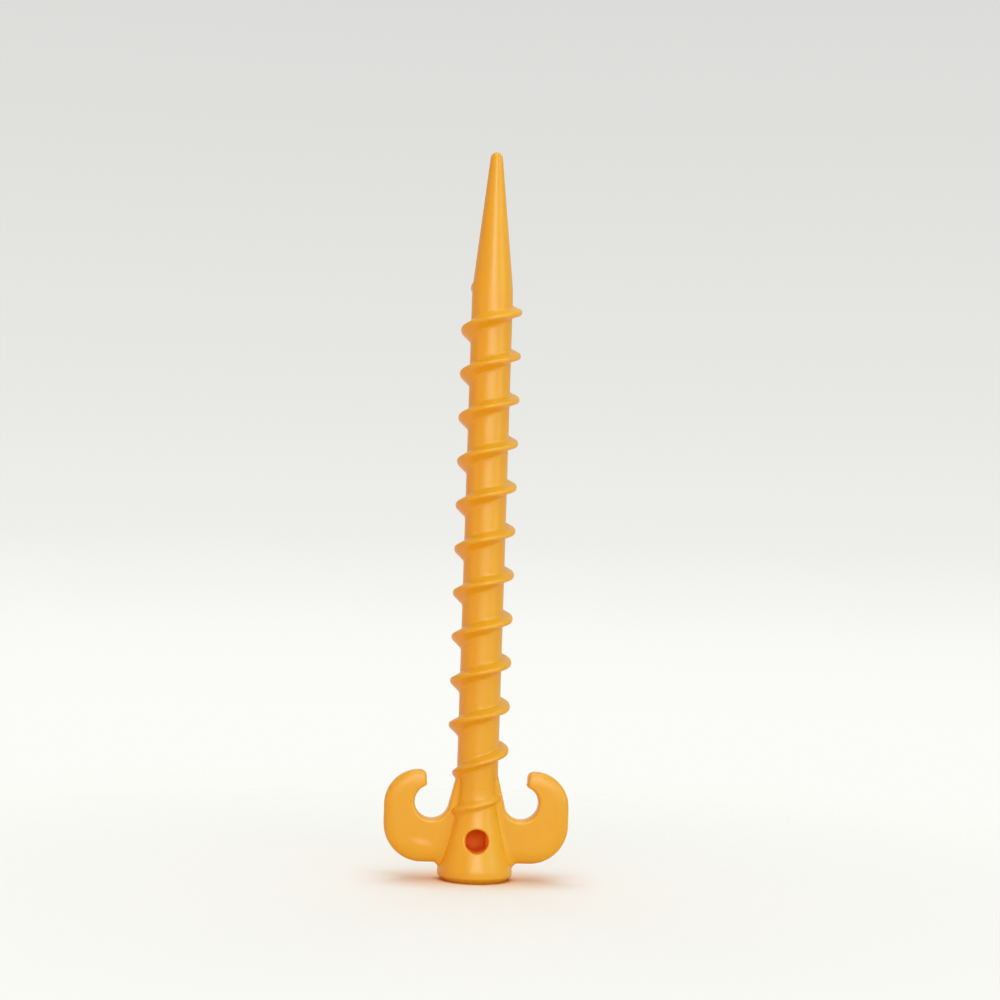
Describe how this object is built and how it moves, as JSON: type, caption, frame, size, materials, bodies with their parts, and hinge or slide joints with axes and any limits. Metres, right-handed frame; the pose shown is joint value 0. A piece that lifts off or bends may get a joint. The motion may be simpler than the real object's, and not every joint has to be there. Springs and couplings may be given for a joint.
{
  "type": "tent stake",
  "caption": "Screw-in plastic tent stake: flared head with a blind cross hole, paired guy-line hooks, a round shank with a coarse right-hand thread, and a blunt point.",
  "frame": {"origin": "centre of the head's flat end face, which the stake stands on", "axes": "+Z along the stake from the head to the point; the hooks lie along X; the cross hole opens towards -Y"},
  "size_m": [0.0506, 0.0206, 0.2],
  "materials": {
    "yellow_plastic": "injection-moulded yellow-orange plastic, satin to glossy, coloured right through"
  },
  "bodies": {
    "root": {"head": "yellow_plastic", "left_hook": "yellow_plastic", "right_hook": "yellow_plastic", "shank": "yellow_plastic", "thread": "yellow_plastic", "thread_lead_in": "yellow_plastic", "point": "yellow_plastic"}
  },
  "joints": []
}
